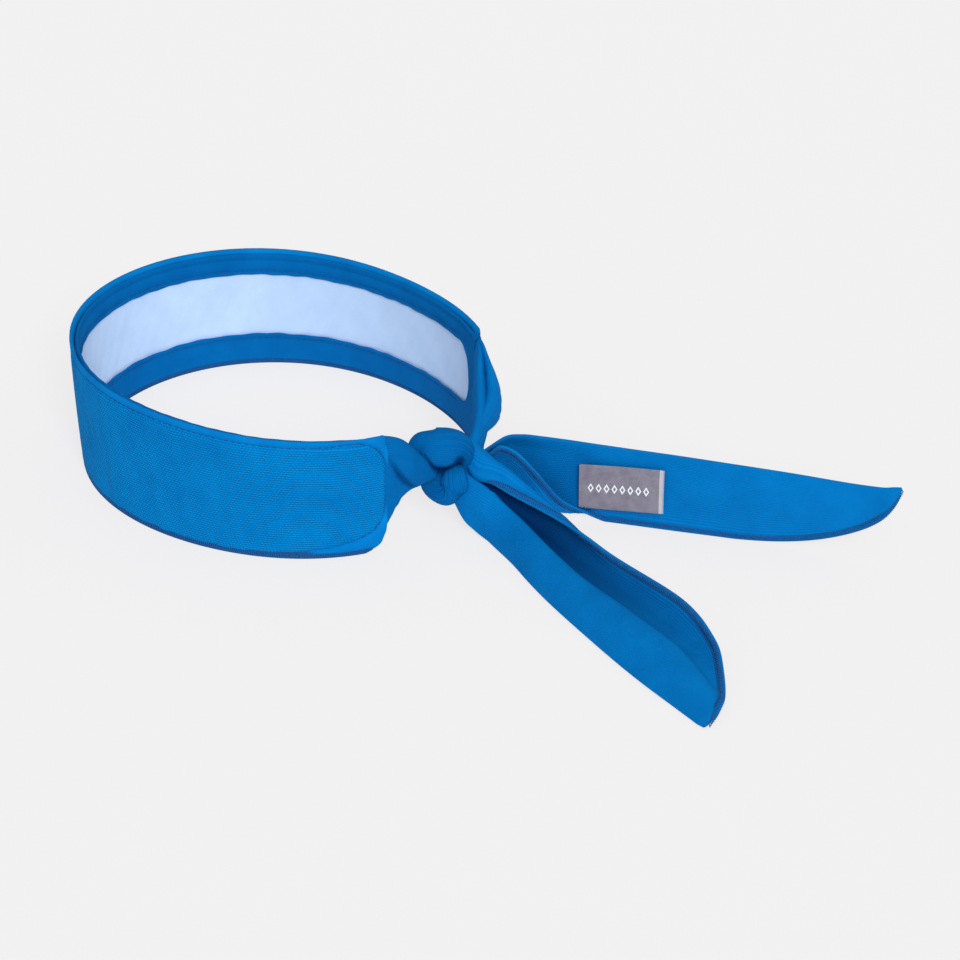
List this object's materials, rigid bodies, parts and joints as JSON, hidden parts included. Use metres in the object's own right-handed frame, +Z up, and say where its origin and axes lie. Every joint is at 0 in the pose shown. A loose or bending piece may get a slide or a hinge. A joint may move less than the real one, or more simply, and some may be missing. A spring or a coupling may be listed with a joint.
{
  "type": "tie-on sports headband",
  "caption": "Knit sweatband tied into a loop round the head, with a pale absorbent pad inside, a knot at the back, two free rounded tails and a woven label.",
  "frame": {"origin": "centre of the head opening, in the plane of the band's lower edge, which is what it rests on", "axes": "+X from the centre of the head opening towards the knot, +Y towards the side of the labelled tail, +Z up through the head opening"},
  "size_m": [0.3582, 0.1738, 0.058],
  "materials": {
    "panel_knit": "matte knit with fine horizontal rows",
    "facing_cloth": "matte smooth jersey",
    "tie_cloth": "matte fine jersey",
    "pad_sponge": "matte absorbent non-woven",
    "thread": "overlocking thread",
    "label_satin": "woven satin"
  },
  "bodies": {
    "band": {"outer_panel": "panel_knit", "cooling_pad": "pad_sponge", "upper_facing": "facing_cloth", "lower_facing": "facing_cloth", "lower_hem": "thread", "rim_stitching": "thread", "upper_window_stitching": "thread", "lower_window_stitching": "thread", "near_end_seam": "thread", "far_end_seam": "thread", "near_tie_root": "tie_cloth", "far_tie_root": "tie_cloth", "near_tie_lobe": "tie_cloth", "far_tie_lobe": "tie_cloth", "tie_crossing": "tie_cloth"},
    "near_tail": {"near_tail": "tie_cloth", "near_tail_overlock": "thread"},
    "far_tail": {"far_tail": "tie_cloth", "far_tail_overlock": "thread", "label": "label_satin", "label_stitching": "thread"}
  },
  "joints": [
    {"name": "near_tail_lift", "type": "hinge", "parent": "band", "child": "near_tail", "pos_m": [0.1045, 0.001, 0.028], "axis": [-0.3469, -0.9379, 0], "range_deg": [0, 50]},
    {"name": "far_tail_swing", "type": "hinge", "parent": "band", "child": "far_tail", "pos_m": [0.101, 0.022, 0.018], "axis": [0, 0, 1], "range_deg": [-18, 30]}
  ]
}
